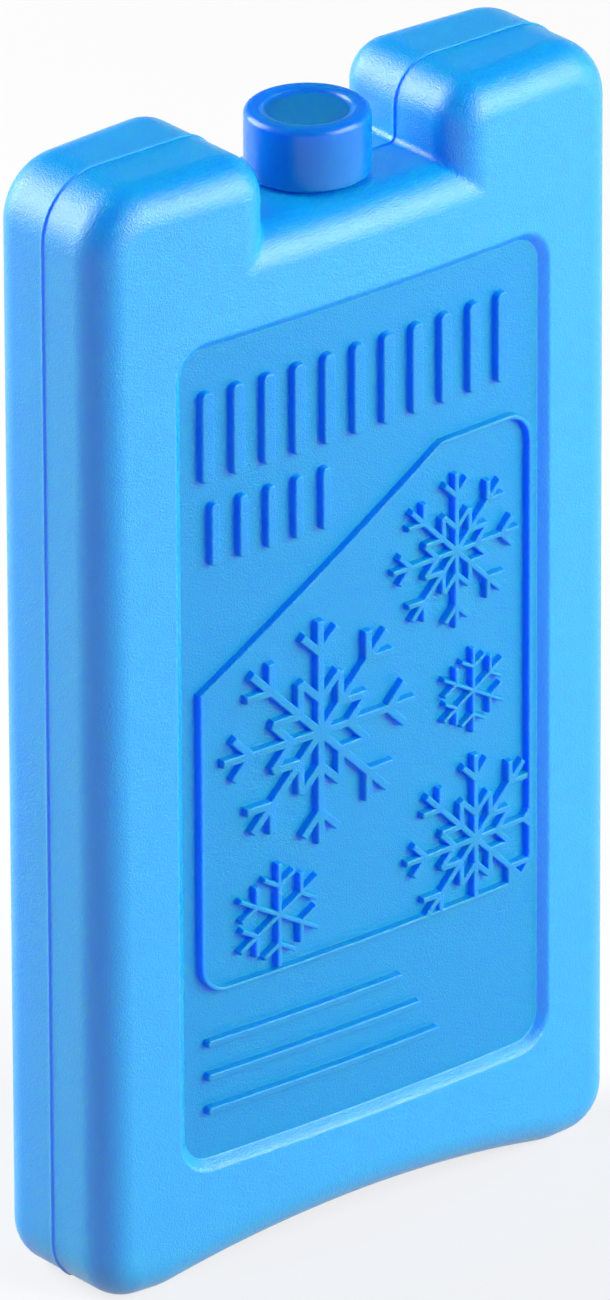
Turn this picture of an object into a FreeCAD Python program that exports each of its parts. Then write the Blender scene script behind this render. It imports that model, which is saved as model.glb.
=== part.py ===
import FreeCAD, Part
import math
import os

import Sketcher
from FreeCAD import Vector

# Reusable ice pack: a flat blow-moulded bottle with a notch in its top edge and a cap in the notch.
# Frame: +Z up, the front face looks along -Y, the mould's parting plane is y = 0.
# The origin is below the middle of the bottle, in the plane of its feet. Lengths are in millimetres.

os.makedirs("parts", exist_ok=True)
doc = FreeCAD.newDocument("IcePack")

# Driving dimensions

SIZES = {
    # bottle outline, seen from the front
    "body_height": 150.0,
    "body_width": 83.0,
    "notch_width": 28.6,
    "notch_drop": 10.2,
    "top_corner_extra": 3.2,
    "foot_corner_extra": 1.5,
    "crest_extra": 0.6,
    "notch_root": 0.8,
    # bottle section, seen from above
    "side_depth": 20.6,
    "crown_rise": 2.0,
    "edge_round": 5.0,
    # underside
    "foot_inset": 10.5,
    "arch_rise": 3.5,
    "foot_blend": 12.0,
    "groove_radius": 5.0,
    "groove_sink": 1.0,
    # raised line left by the two mould halves
    "seam_width": 0.4,
    "seam_rise": 0.2,
    "seam_bury": 4.0,
    # recessed panel in the front face: above the floor, and below the bottom of the notch
    "panel_width": 57.0,
    "panel_low": 17.0,
    "panel_border": 13.1,
    "panel_corner": 3.5,
    "panel_sink": 1.1,
    "panel_rim": 1.8,
    "panel_lap": 1.0,
    # everything that stands up from the panel
    "relief_rise": 1.0,
    # thin frame round the snowflakes: gaps to the panel's edges, and the slanted part of its top
    "frame_gap_left": 2.0,
    "frame_gap_right": 1.4,
    "frame_gap_low": 22.5,
    "frame_gap_high": 22.5,
    "frame_fall": 23.4,
    "frame_turn": 11.8,
    "frame_corner": 4.2,
    "frame_width": 0.7,
    # snowflakes: place of the middle, measured from the frame, and length of an arm
    "flake_large_x": 18.7,
    "flake_large_z": 31.0,
    "flake_large_arm": 15.2,
    "flake_upper_x": 12.8,
    "flake_upper_z": 15.7,
    "flake_upper_arm": 10.5,
    "flake_lower_x": 9.6,
    "flake_lower_z": 8.6,
    "flake_lower_arm": 11.6,
    "flake_right_x": 10.0,
    "flake_right_z": 29.1,
    "flake_right_arm": 5.8,
    "flake_left_x": 12.1,
    "flake_left_z": 8.0,
    "flake_left_arm": 7.1,
    # plain raised ribs: upright ones below the panel's top edge, level ones above its bottom edge
    "tall_rib_length": 12.2,
    "tall_rib_width": 1.9,
    "tall_rib_pitch": 4.7,
    "tall_rib_left": 2.6,
    "tall_rib_drop": 5.5,
    "short_rib_length": 8.4,
    "short_rib_width": 1.4,
    "short_rib_pitch": 4.3,
    "short_rib_left": 3.9,
    "short_rib_drop": 20.6,
    "line_rib_width": 1.1,
    "line_rib_length": 31.0,
    "line_rib_step": 3.0,
    "line_rib_left": 2.9,
    "line_rib_rise": 16.4,
    "line_rib_pitch": 4.6,
    # closed neck under the cap, a little to the right of the middle
    "neck_shift": 0.4,
    "neck_radius": 5.4,
    # cap
    "cap_radius": 7.9,
    "cap_height": 8.3,
    "cap_lift": 0.4,
    "cap_round": 1.0,
    "cap_ring": 0.9,
    "cap_dish": 0.6,
    "cap_dish_slope": 0.5,
    "cap_wall": 1.4,
    "cap_clearance": 0.3,
}
TALL_RIBS = 11
SHORT_RIBS = 5
LINE_RIBS = 3

sheet = doc.addObject("Spreadsheet::Sheet", "Sizes")
for row, (alias, number) in enumerate(SIZES.items(), start=1):
    sheet.set("A%d" % row, alias)
    sheet.set("B%d" % row, str(number))
    sheet.setAlias("B%d" % row, alias)
doc.recompute()


class Size:
    """A length as a number, for the first guess, and as a formula of the sheet, for the model."""

    def __init__(self, number, formula):
        self.number = number
        self.formula = formula

    def join(self, sign, other, number):
        return Size(number, "(%s %s %s)" % (self.formula, sign, as_size(other).formula))

    def __add__(self, other):
        return self.join("+", other, self.number + as_size(other).number)

    def __sub__(self, other):
        return self.join("-", other, self.number - as_size(other).number)

    def __mul__(self, other):
        return self.join("*", other, self.number * as_size(other).number)

    def __truediv__(self, other):
        return self.join("/", other, self.number / as_size(other).number)

    def __neg__(self):
        return Size(-self.number, "(0 - %s)" % self.formula)


def as_size(value):
    if isinstance(value, Size):
        return value
    return Size(float(value), "%.6f" % value)


def size(alias):
    return Size(SIZES[alias], "Sizes." + alias)


def bind(item, path, value):
    item.setExpression(path, as_size(value).formula)


# Building blocks

ORIGIN_POINT = (-1, 1)


def origin_plane(body, role):
    for feature in body.Origin.OriginFeatures:
        if feature.Role == role:
            return feature


def new_body(label):
    body = doc.addObject("PartDesign::Body", label)
    body.Label = label
    return body


def new_sketch(body, name, role, shift=(0, 0, 0)):
    sketch = body.newObject("Sketcher::SketchObject", name)
    sketch.AttachmentSupport = [(origin_plane(body, role), "")]
    sketch.MapMode = "FlatFace"
    for axis, value in zip("xyz", shift):
        bind(sketch, "AttachmentOffset.Base." + axis, value)
    return sketch


def set_size(sketch, constraint, name, value):
    index = sketch.addConstraint(constraint)
    sketch.renameConstraint(index, name)
    bind(sketch, "Constraints." + name, value)


def fix_point(sketch, geometry, position, name, x, y):
    """Ties one point of a sketch to its distances from the sketch's origin."""
    for kind, axis_line, value in (("DistanceX", -2, x), ("DistanceY", -1, y)):
        value = as_size(value)
        if abs(value.number) < 1e-9:
            sketch.addConstraint(Sketcher.Constraint("PointOnObject", geometry, position, axis_line))
        else:
            start = ORIGIN_POINT + (geometry, position)
            rule = Sketcher.Constraint(kind, *start, value.number)
            set_size(sketch, rule, name + kind[-1], value)


def draw_polygon(sketch, corners, name="p"):
    """Closed outline with sharp corners, each a pair of sizes."""
    points = [Vector(as_size(x).number, as_size(y).number, 0) for x, y in corners]
    first = sketch.GeometryCount
    count = len(points)
    for i in range(count):
        sketch.addGeometry(Part.LineSegment(points[i], points[(i + 1) % count]))
    for i in range(count):
        following = first + (i + 1) % count
        sketch.addConstraint(Sketcher.Constraint("Coincident", first + i, 2, following, 1))
    for i, (x, y) in enumerate(corners):
        fix_point(sketch, first + i, 1, "%s%d" % (name, i), x, y)


def draw_rounded(sketch, corners, name="r"):
    """Closed outline through corners (x, y, radius). The sharp corners stay as fixed points."""
    count = len(corners)
    sharp = [Vector(as_size(x).number, as_size(y).number, 0) for x, y, radius in corners]
    radii = [as_size(radius) for x, y, radius in corners]
    starts = []
    ends = []
    centres = []
    for i in range(count):
        back = sharp[i - 1] - sharp[i]
        ahead = sharp[(i + 1) % count] - sharp[i]
        back.normalize()
        ahead.normalize()
        half = back.getAngle(ahead) / 2
        reach = radii[i].number / math.tan(half)
        middle = back + ahead
        middle.normalize()
        starts.append(sharp[i] + back * reach)
        ends.append(sharp[i] + ahead * reach)
        centres.append(sharp[i] + middle * (radii[i].number / math.sin(half)))
    first = sketch.GeometryCount
    for i in range(count):
        sketch.addGeometry(Part.LineSegment(ends[i], starts[(i + 1) % count]))
    arcs = {}
    for i in range(count):
        if radii[i].number > 0:
            inward = sharp[i] - centres[i]
            inward.normalize()
            crown = centres[i] + inward * radii[i].number
            arcs[i] = sketch.addGeometry(Part.Arc(starts[i], crown, ends[i]))
    for i in range(count):
        x, y, radius = corners[i]
        before = first + (i - 1) % count
        after = first + i
        label = "%s%d" % (name, i)
        if i not in arcs:
            sketch.addConstraint(Sketcher.Constraint("Coincident", before, 2, after, 1))
            fix_point(sketch, after, 1, label, x, y)
            continue
        mark = sketch.addGeometry(Part.Point(sharp[i]), True)
        fix_point(sketch, mark, 1, label, x, y)
        sketch.addConstraint(Sketcher.Constraint("PointOnObject", mark, 1, before))
        sketch.addConstraint(Sketcher.Constraint("PointOnObject", mark, 1, after))
        arc = arcs[i]
        start_point = sketch.getPoint(arc, 1)
        leads = start_point.distanceToPoint(starts[i]) < 1e-6
        sketch.addConstraint(Sketcher.Constraint("Tangent", before, 2, arc, 1 if leads else 2))
        sketch.addConstraint(Sketcher.Constraint("Tangent", arc, 2 if leads else 1, after, 1))
        set_size(sketch, Sketcher.Constraint("Radius", arc, radii[i].number), label + "R", radii[i])


def mirrored(corners):
    """Corners of the right half, from low to high, followed by their mirror images."""
    return corners + [(-as_size(x), *rest) for x, *rest in reversed(corners)]


def pad(body, sketch, length, name, midplane=False, reverse=False):
    feature = body.newObject("PartDesign::Pad", name)
    feature.Profile = sketch
    bind(feature, "Length", length)
    feature.Midplane = midplane
    feature.Reversed = reverse
    return feature


def pocket(body, sketch, name, midplane=False, reverse=False, length=None):
    feature = body.newObject("PartDesign::Pocket", name)
    feature.Profile = sketch
    feature.Midplane = midplane
    feature.Reversed = reverse
    if length is None:
        feature.Type = 1
    else:
        bind(feature, "Length", length)
    return feature


def edges_where(feature, wanted):
    """Names of the edges whose middle point passes the test."""
    names = []
    for number, edge in enumerate(feature.Shape.Edges, start=1):
        middle = edge.valueAt((edge.FirstParameter + edge.LastParameter) / 2)
        if wanted(middle):
            names.append("Edge%d" % number)
    return names


def fillet(body, base, wanted, radius, name):
    doc.recompute()
    names = edges_where(base, wanted)
    if not names:
        raise RuntimeError("no edges for " + name)
    feature = body.newObject("PartDesign::Fillet", name)
    feature.Base = (base, names)
    bind(feature, "Radius", radius)
    return feature


# Sizes that follow from the others

half_width = size("body_width") / 2
half_notch = size("notch_width") / 2
notch_floor = size("body_height") - size("notch_drop")
foot_corner = size("edge_round") + size("foot_corner_extra")
top_corner = size("edge_round") + size("top_corner_extra")
crest = size("edge_round") + size("crest_extra")
front_apex = size("side_depth") / 2 + size("crown_rise")
crown_radius = (half_width * half_width + size("crown_rise") * size("crown_rise")) / (size("crown_rise") * 2)
crown_axis = crown_radius - front_apex
foot_reach = half_width - size("foot_inset")
arch_radius = (foot_reach * foot_reach + size("arch_rise") * size("arch_rise")) / (size("arch_rise") * 2)
margin = size("side_depth")

# Bottle: outline with the notch and two horns, as deep as the crown allows

bottle = new_body("bottle_shell")


def bottle_corners(grow):
    """Right half of the outline, grown outwards by a small amount, from the foot to the notch."""
    return [
        (half_width + grow, -as_size(grow), foot_corner + grow),
        (half_width + grow, size("body_height") + grow, top_corner + grow),
        (half_notch - grow, size("body_height") + grow, crest + grow),
        (half_notch - grow, notch_floor + grow, size("notch_root") - grow),
    ]


outline = new_sketch(bottle, "Outline", "XZ_Plane")
draw_rounded(outline, mirrored(bottle_corners(0)))
blank = pad(bottle, outline, front_apex * 2, "Blank", midplane=True)

# Crowned front and back: everything outside the two arcs goes

crown = new_sketch(bottle, "CrownPlan", "XY_Plane", (0, 0, -margin))
outer_x = half_width + margin
outer_y = front_apex + margin
for side in (-1, 1):
    base = crown.GeometryCount
    edge_y = (size("side_depth") / 2) * side
    left = Vector(-half_width.number, edge_y.number, 0)
    right = Vector(half_width.number, edge_y.number, 0)
    top = Vector(0, front_apex.number * side, 0)
    crown.addGeometry(Part.Arc(left, top, right))
    far = outer_y * side
    near_left = Vector(-outer_x.number, edge_y.number, 0)
    near_right = Vector(outer_x.number, edge_y.number, 0)
    far_left = Vector(-outer_x.number, far.number, 0)
    far_right = Vector(outer_x.number, far.number, 0)
    crown.addGeometry(Part.LineSegment(right, near_right))
    crown.addGeometry(Part.LineSegment(near_right, far_right))
    crown.addGeometry(Part.LineSegment(far_right, far_left))
    crown.addGeometry(Part.LineSegment(far_left, near_left))
    crown.addGeometry(Part.LineSegment(near_left, left))
    arc_starts_left = crown.getPoint(base, 1).x < 0
    left_end = 1 if arc_starts_left else 2
    right_end = 2 if arc_starts_left else 1
    crown.addConstraint(Sketcher.Constraint("Coincident", base, right_end, base + 1, 1))
    for i in range(1, 5):
        crown.addConstraint(Sketcher.Constraint("Coincident", base + i, 2, base + i + 1, 1))
    crown.addConstraint(Sketcher.Constraint("Coincident", base + 5, 2, base, left_end))
    tag = "front" if side < 0 else "back"
    fix_point(crown, base + 1, 1, tag + "Right", half_width, edge_y)
    fix_point(crown, base + 5, 2, tag + "Left", -half_width, edge_y)
    fix_point(crown, base + 2, 1, tag + "NearRight", outer_x, edge_y)
    fix_point(crown, base + 3, 1, tag + "FarRight", outer_x, far)
    fix_point(crown, base + 4, 1, tag + "FarLeft", -outer_x, far)
    fix_point(crown, base + 5, 1, tag + "NearLeft", -outer_x, edge_y)
    rule = Sketcher.Constraint("Radius", base, crown_radius.number)
    set_size(crown, rule, tag + "Radius", crown_radius)
crowned = pocket(bottle, crown, "Crowned", reverse=True)

# Arched underside, so that the bottle stands on its two ends

arch = new_sketch(bottle, "Arch", "XZ_Plane")
drop = size("arch_rise") - arch_radius
arch.addGeometry(Part.Circle(Vector(0, drop.number, 0), Vector(0, 0, 1), arch_radius.number))
arch.addConstraint(Sketcher.Constraint("PointOnObject", 0, 3, -2))
set_size(arch, Sketcher.Constraint("DistanceY", -1, 1, 0, 3, drop.number), "drop", drop)
set_size(arch, Sketcher.Constraint("Radius", 0, arch_radius.number), "radius", arch_radius)
arched = pocket(bottle, arch, "Arched", midplane=True)


def at_foot_end(point):
    return abs(abs(point.x) - foot_reach.number) < 1e-4 and abs(point.z) < 1e-4


blended = fillet(bottle, arched, at_foot_end, size("foot_blend"), "FootBlend")


def on_crown(point):
    reach = math.hypot(point.x, abs(point.y) + crown_axis.number)
    return abs(reach - crown_radius.number) < 1e-4


softened = fillet(bottle, blended, on_crown, size("edge_round"), "EdgeRound")

# Parting line: a thin slab in the middle plane that stands a little proud of the outline

seam = new_sketch(bottle, "SeamOutline", "XZ_Plane")
rise = size("seam_rise")
toe = half_width - foot_corner - 1
seam_half = [(toe, size("arch_rise") + size("seam_bury"), 0), (toe, -rise, 0)] + bottle_corners(rise)
draw_rounded(seam, mirrored(seam_half))
seamed = pad(bottle, seam, size("seam_width"), "Seam", midplane=True)

# Groove along the middle of the underside, through the feet

groove_drop = size("groove_radius") - size("groove_sink")
level = new_sketch(bottle, "GrooveStraight", "YZ_Plane")
centre = Vector(0, -groove_drop.number, 0)
level.addGeometry(Part.Circle(centre, Vector(0, 0, 1), size("groove_radius").number))
level.addConstraint(Sketcher.Constraint("PointOnObject", 0, 3, -2))
rule = Sketcher.Constraint("DistanceY", -1, 1, 0, 3, -groove_drop.number)
set_size(level, rule, "level", -groove_drop)
rule = Sketcher.Constraint("Radius", 0, size("groove_radius").number)
set_size(level, rule, "radius", size("groove_radius"))
grooved = pocket(bottle, level, "FootGroove", midplane=True)

# Recessed panel: a deep pocket with a rounded rim, filled up again to a floor that follows the crown

half_panel = size("panel_width") / 2
panel_low = size("panel_low")
panel_high = notch_floor - size("panel_border")
deep = front_apex - size("crown_rise") - size("panel_rim") - size("panel_sink")
panel = new_sketch(bottle, "PanelOutline", "XZ_Plane", (0, 0, deep))
panel_corners = [
    (half_panel, panel_low, size("panel_corner")),
    (half_panel, panel_high, size("panel_corner")),
]
draw_rounded(panel, mirrored(panel_corners))
sunk = pocket(bottle, panel, "PanelPocket", reverse=True)


def on_panel_rim(point):
    across = abs(point.x) < half_panel.number + 0.01
    low = panel_low.number - 0.01
    high = panel_high.number + 0.01
    return across and low < point.z < high and point.y < 0 and on_crown(point)


rimmed = fillet(bottle, sunk, on_panel_rim, size("panel_rim"), "PanelRim")


def face_strip(body, name, floor, reach, radius, low):
    """Plan of a strip of the front, from a flat back at y = -floor to an arc about the crown's axis."""
    strip = new_sketch(body, name, "XY_Plane", (0, 0, low))
    side_y = math.sqrt(radius.number ** 2 - reach.number ** 2) - crown_axis.number
    left = Vector(-reach.number, -side_y, 0)
    right = Vector(reach.number, -side_y, 0)
    top = Vector(0, crown_axis.number - radius.number, 0)
    back_left = Vector(-reach.number, -as_size(floor).number, 0)
    back_right = Vector(reach.number, -as_size(floor).number, 0)
    strip.addGeometry(Part.Arc(left, top, right))
    strip.addGeometry(Part.LineSegment(right, back_right))
    strip.addGeometry(Part.LineSegment(back_right, back_left))
    strip.addGeometry(Part.LineSegment(back_left, left))
    starts_left = strip.getPoint(0, 1).x < 0
    strip.addConstraint(Sketcher.Constraint("Coincident", 0, 2 if starts_left else 1, 1, 1))
    strip.addConstraint(Sketcher.Constraint("Coincident", 1, 2, 2, 1))
    strip.addConstraint(Sketcher.Constraint("Coincident", 2, 2, 3, 1))
    strip.addConstraint(Sketcher.Constraint("Coincident", 3, 2, 0, 1 if starts_left else 2))
    strip.addConstraint(Sketcher.Constraint("Vertical", 1))
    strip.addConstraint(Sketcher.Constraint("Vertical", 3))
    fix_point(strip, 2, 1, "backRight", reach, -as_size(floor))
    fix_point(strip, 2, 2, "backLeft", -reach, -as_size(floor))
    strip.addConstraint(Sketcher.Constraint("PointOnObject", 0, 3, -2))
    rule = Sketcher.Constraint("DistanceY", -1, 1, 0, 3, crown_axis.number)
    set_size(strip, rule, "axis", crown_axis)
    set_size(strip, Sketcher.Constraint("Radius", 0, radius.number), "radius", radius)
    return strip


lap = size("panel_lap")
floor_radius = crown_radius - size("panel_sink")
floor_plan = face_strip(bottle, "FloorPlan", deep - lap, half_panel + lap, floor_radius, panel_low - lap)
floor_height = panel_high - panel_low + lap * 2
floored = pad(bottle, floor_plan, floor_height, "PanelFloor")

# Neck under the cap: closed, because the filling is sealed in

cap_base = notch_floor + size("cap_lift")
cap_top = cap_base + size("cap_height")
ceiling = cap_top - size("cap_dish") - size("cap_wall")
neck_root = notch_floor - size("edge_round")
neck = new_sketch(bottle, "NeckPlan", "XY_Plane", (size("neck_shift"), 0, neck_root))
neck.addGeometry(Part.Circle(Vector(0, 0, 0), Vector(0, 0, 1), SIZES["neck_radius"]))
neck.addConstraint(Sketcher.Constraint("Coincident", 0, 3, -1, 1))
set_size(neck, Sketcher.Constraint("Radius", 0, SIZES["neck_radius"]), "radius", size("neck_radius"))
necked = pad(bottle, neck, ceiling - neck_root, "Neck")

# Relief: prisms that start inside the wall and are trimmed by one crowned surface

relief_start = deep
relief_length = front_apex - relief_start + 1
frame_left = size("frame_gap_left") - half_panel
frame_right = half_panel - size("frame_gap_right")
frame_low = panel_low + size("frame_gap_low")
frame_high = panel_high - size("frame_gap_high")


def strip_reach(angle, half, root, length):
    """Corner points, across and along, of a side branch at an angle to an arm of the same width."""
    sine = math.sin(angle)
    cosine = math.cos(angle)
    slope = math.tan(angle / 2)
    return [
        (half, root - half * sine + half * slope * cosine),
        (half * cosine + length * sine, root - half * sine + length * cosine),
        (length * sine - half * cosine, root + half * sine + length * cosine),
        (half, root + half * sine + half / slope * cosine),
    ]


def snowflake(name, x, z, arm, arms, branch_angle, width_share, root_share, branch_share, kite_share):
    """A flake whose arms carry two branches each, with kites between neighbouring arms."""
    body = new_body(name)
    half = arm * (width_share / 2)
    shift = (x, z, relief_start)
    branch = strip_reach(branch_angle, half, arm * root_share, arm * branch_share)
    arm_sketch = new_sketch(body, name + "ArmPlan", "XZ_Plane", shift)
    draw_polygon(arm_sketch, mirrored([(half, 0)] + branch + [(half, arm)]))
    features = [pad(body, arm_sketch, relief_length, name + "Arm")]
    if kite_share:
        step = 2 * math.pi / arms
        outer = arm * kite_share
        inner = outer - half * 2 / math.sin(step)
        blunt = outer * 0.70
        along = (math.sin(step), math.cos(step))
        kite_sketch = new_sketch(body, name + "KitePlan", "XZ_Plane", shift)
        corners = [
            (0, outer),
            (blunt * along[0], outer + blunt * along[1]),
            (outer * along[0], outer * along[1] + blunt),
            (outer * along[0], outer * along[1]),
            (inner * along[0], inner * along[1]),
            (inner * along[0], inner * along[1] + inner),
            (0, inner),
        ]
        draw_polygon(kite_sketch, corners)
        features.append(pad(body, kite_sketch, relief_length, name + "Kite"))
    doc.recompute()
    ring = body.newObject("PartDesign::PolarPattern", name + "Ring")
    ring.Originals = features
    ring.Axis = (arm_sketch, ["N_Axis"])
    ring.Angle = 360
    ring.Occurrences = arms
    body.Tip = ring
    return body


eighth = (8, math.radians(45), 0.076, 0.71, 0.262, 0.348)
sixth = (6, math.radians(60), 0.105, 0.56, 0.40, 0)
large_x = frame_left + size("flake_large_x")
upper_x = frame_right - size("flake_upper_x")
right_x = frame_right - size("flake_right_x")
left_x = frame_left + size("flake_left_x")
lower_x = frame_right - size("flake_lower_x")
large_z = frame_low + size("flake_large_z")
upper_z = frame_high - size("flake_upper_z")
right_z = frame_low + size("flake_right_z")
left_z = frame_low + size("flake_left_z")
lower_z = frame_low + size("flake_lower_z")
flakes = [
    snowflake("FlakeLarge", large_x, large_z, size("flake_large_arm"), *eighth),
    snowflake("FlakeUpper", upper_x, upper_z, size("flake_upper_arm"), *eighth),
    snowflake("FlakeRight", right_x, right_z, size("flake_right_arm"), *sixth),
    snowflake("FlakeLeft", left_x, left_z, size("flake_left_arm"), *sixth),
]
cut_flake = snowflake("FlakeLower", lower_x, lower_z, size("flake_lower_arm"), *eighth)


def frame_corners(inset):
    """Frame outline, moved inwards by a small amount: four square corners and a slanted one."""
    run = size("frame_turn") - frame_left
    slope = math.atan2(SIZES["frame_fall"], run.number)
    corner = size("frame_corner") - inset
    low_shift = as_size(inset) * math.tan((math.pi / 2 - slope) / 2)
    high_shift = as_size(inset) * math.tan(slope / 2)
    return [
        (frame_right - inset, frame_low + inset, corner),
        (frame_right - inset, frame_high - inset, corner),
        (size("frame_turn") + high_shift, frame_high - inset, 0),
        (frame_left + inset, frame_high - size("frame_fall") - low_shift, 0),
        (frame_left + inset, frame_low + inset, corner),
    ]


frame = new_body("Frame")
frame_sketch = new_sketch(frame, "FramePlan", "XZ_Plane", (0, 0, relief_start))
draw_rounded(frame_sketch, frame_corners(0), "outer")
draw_rounded(frame_sketch, frame_corners(size("frame_width")), "inner")
pad(frame, frame_sketch, relief_length, "FrameRib")

window = new_body("FrameField")
window_sketch = new_sketch(window, "FrameFieldPlan", "XZ_Plane", (0, 0, relief_start))
draw_rounded(window_sketch, frame_corners(0))
pad(window, window_sketch, relief_length, "FrameFieldBlock")

kept_flake = doc.addObject("Part::MultiCommon", "FlakeLowerInFrame")
kept_flake.Shapes = [cut_flake, window]


def bar_corners(length, width):
    """A level bar from the origin to the right, its four corners cut off."""
    cut = width * 0.3
    return [
        (cut, 0),
        (length - cut, 0),
        (length, cut),
        (length, width - cut),
        (length - cut, width),
        (cut, width),
        (0, width - cut),
        (0, cut),
    ]


def rib_row(name, left, high, width, length, pitch, count):
    """A row of upright ribs below a given height."""
    body = new_body(name)
    sketch = new_sketch(body, name + "Plan", "XZ_Plane", (left, high - length, relief_start))
    draw_polygon(sketch, [(across, along) for along, across in bar_corners(length, width)])
    first = pad(body, sketch, relief_length, name + "Rib")
    doc.recompute()
    row = body.newObject("PartDesign::LinearPattern", name + "Row")
    row.Originals = [first]
    row.Direction = (sketch, ["H_Axis"])
    bind(row, "Length", pitch * (count - 1))
    row.Occurrences = count
    body.Tip = row
    return body


tall_left = size("tall_rib_left") - half_panel
tall_high = panel_high - size("tall_rib_drop")
tall_ribs = rib_row("TallRibs", tall_left, tall_high, size("tall_rib_width"),
                    size("tall_rib_length"), size("tall_rib_pitch"), TALL_RIBS)
short_left = size("short_rib_left") - half_panel
short_high = panel_high - size("short_rib_drop")
short_ribs = rib_row("ShortRibs", short_left, short_high, size("short_rib_width"),
                     size("short_rib_length"), size("short_rib_pitch"), SHORT_RIBS)

line_left = size("line_rib_left") - half_panel
line_ribs = []
for i in range(LINE_RIBS):
    name = "LineRib%d" % (i + 1)
    body = new_body(name)
    low = panel_low + size("line_rib_rise") - size("line_rib_pitch") * i - size("line_rib_width")
    sketch = new_sketch(body, name + "Plan", "XZ_Plane", (line_left, low, relief_start))
    length = size("line_rib_length") + size("line_rib_step") * i
    draw_polygon(sketch, bar_corners(length, size("line_rib_width")))
    pad(body, sketch, relief_length, name + "Bar")
    line_ribs.append(body)

raw_relief = doc.addObject("Part::MultiFuse", "RawRelief")
raw_relief.Shapes = flakes + [kept_flake, frame, tall_ribs, short_ribs] + line_ribs
raw_relief.Refine = False

trim = doc.addObject("Part::Cylinder", "ReliefCrown")
bind(trim, "Radius", crown_radius - size("panel_sink") + size("relief_rise"))
bind(trim, "Height", size("body_height"))
bind(trim, "Placement.Base.y", crown_axis)

relief = doc.addObject("Part::Common", "Relief")
relief.Base = raw_relief
relief.Tool = trim
relief.Refine = False

bottle_node = doc.addObject("Part::Fuse", "Bottle")
bottle_node.Label = "bottle"
bottle_node.Base = bottle
bottle_node.Tool = relief
bottle_node.Refine = False

# Cap: a turned shell with a dished top that closes over the neck

cap = new_body("cap")
bore = size("neck_radius") + size("cap_clearance")
bend_radius = size("cap_radius") - size("cap_round")
bend_level = cap_top - size("cap_round")
dish_radius = bend_radius - size("cap_ring")
dish_floor = dish_radius - size("cap_dish_slope")
profile = new_sketch(cap, "CapSection", "XZ_Plane", (size("neck_shift"), 0, 0))
rim = []
for step in range(4):
    turn = math.radians(30 * step)
    rim_x = bend_radius + size("cap_round") * math.cos(turn)
    rim_z = bend_level + size("cap_round") * math.sin(turn)
    rim.append((rim_x, rim_z))
section = [(bore, cap_base), (size("cap_radius"), cap_base)] + rim + [
    (dish_radius, cap_top),
    (dish_floor, cap_top - size("cap_dish")),
    (0, cap_top - size("cap_dish")),
    (0, ceiling),
    (bore, ceiling),
]
draw_polygon(profile, section)
turned = cap.newObject("PartDesign::Revolution", "CapTurned")
turned.Profile = profile
turned.ReferenceAxis = (profile, ["V_Axis"])
turned.Angle = 360

doc.recompute()

# Checks and files

NODES = {"bottle": bottle_node, "cap": cap}

for item in doc.Objects:
    bad = [word for word in item.State if word in ("Invalid", "Error")]
    if bad:
        raise RuntimeError("%s: %s" % (item.Label, bad))

for sketch in doc.findObjects("Sketcher::SketchObject"):
    if sketch.solve() != 0:
        raise RuntimeError("unsolved sketch " + sketch.Label)

for label, item in NODES.items():
    shape = item.Shape
    if item.Label != label or shape.isNull() or not shape.isValid() or len(shape.Solids) != 1:
        raise RuntimeError("bad shape for " + label)
    shape.exportStep("parts/%s.step" % label)
    print(label, round(shape.Volume / 1000, 2), "cm3", shape.BoundBox)
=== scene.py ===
import math
import bpy
import numpy as np
from mathutils import Matrix, Vector
from mathutils.geometry import delaunay_2d_cdt


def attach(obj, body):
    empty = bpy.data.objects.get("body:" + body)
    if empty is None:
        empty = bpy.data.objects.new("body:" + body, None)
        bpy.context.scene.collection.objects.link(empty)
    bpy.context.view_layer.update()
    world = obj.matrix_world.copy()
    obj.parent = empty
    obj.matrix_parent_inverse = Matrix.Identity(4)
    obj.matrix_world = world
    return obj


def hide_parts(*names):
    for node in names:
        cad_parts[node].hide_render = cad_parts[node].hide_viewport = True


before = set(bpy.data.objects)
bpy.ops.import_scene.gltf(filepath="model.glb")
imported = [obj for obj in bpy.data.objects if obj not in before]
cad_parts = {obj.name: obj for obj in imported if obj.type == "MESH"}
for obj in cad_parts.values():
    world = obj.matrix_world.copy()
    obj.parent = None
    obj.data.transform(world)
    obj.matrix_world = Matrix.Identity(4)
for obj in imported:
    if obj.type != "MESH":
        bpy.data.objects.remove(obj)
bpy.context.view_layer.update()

# Camera: the photograph's view, worked out from the outline of the bottle

PHOTO_HEIGHT = 1300
VIEW_AZIMUTH = math.radians(39.71)
VIEW_ELEVATION = math.radians(25.02)
VIEW_ROLL = math.radians(-0.24)
VIEW_TARGET = Vector((-0.00034, 0.0, 0.07521))
VIEW_DISTANCE = 2.3767
FOCAL_PIXELS = 19182.0
SENSOR = 36.0

# Sizes of the bottle and the cap in millimetres, after the CAD model, and the dish's turn in degrees

MM = 0.001
HALF_WIDTH = 41.5
SIDE_DEPTH = 20.6
HEIGHT = 150.0
HALF_NOTCH = 14.3
NOTCH_FLOOR = 139.8
NOTCH_CREASE = 0.9
TOP_CORNER = 8.2
CREST_CORNER = 5.6
FOOT_CORNER = 6.5
EDGE_ROUND = 5.0
CROWN_RISE = 2.0
CROWN_RADIUS = (HALF_WIDTH ** 2 + CROWN_RISE ** 2) / (2 * CROWN_RISE)
CROWN_AXIS = CROWN_RADIUS - CROWN_RISE - SIDE_DEPTH / 2
FOOT_REACH = 31.0
ARCH_RISE = 3.5
FOOT_BLEND = 12.0
GROOVE_RADIUS = 5.0
GROOVE_SINK = 1.0
GROOVE_HALF = 3.0
SEAM_RISE = 0.2
SEAM_TOE = 34.0
SEAM_TOE_HEIGHT = 10.0
PANEL_HALF = 28.5
PANEL_LOW = 17.0
PANEL_HIGH = 126.7
PANEL_CORNER = 3.5
PANEL_SINK = 1.1
RELIEF_RISE = 1.0
FRAME_LEFT = -26.5
FRAME_RIGHT = 27.1
FRAME_LOW = 39.5
FRAME_HIGH = 104.2
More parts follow.
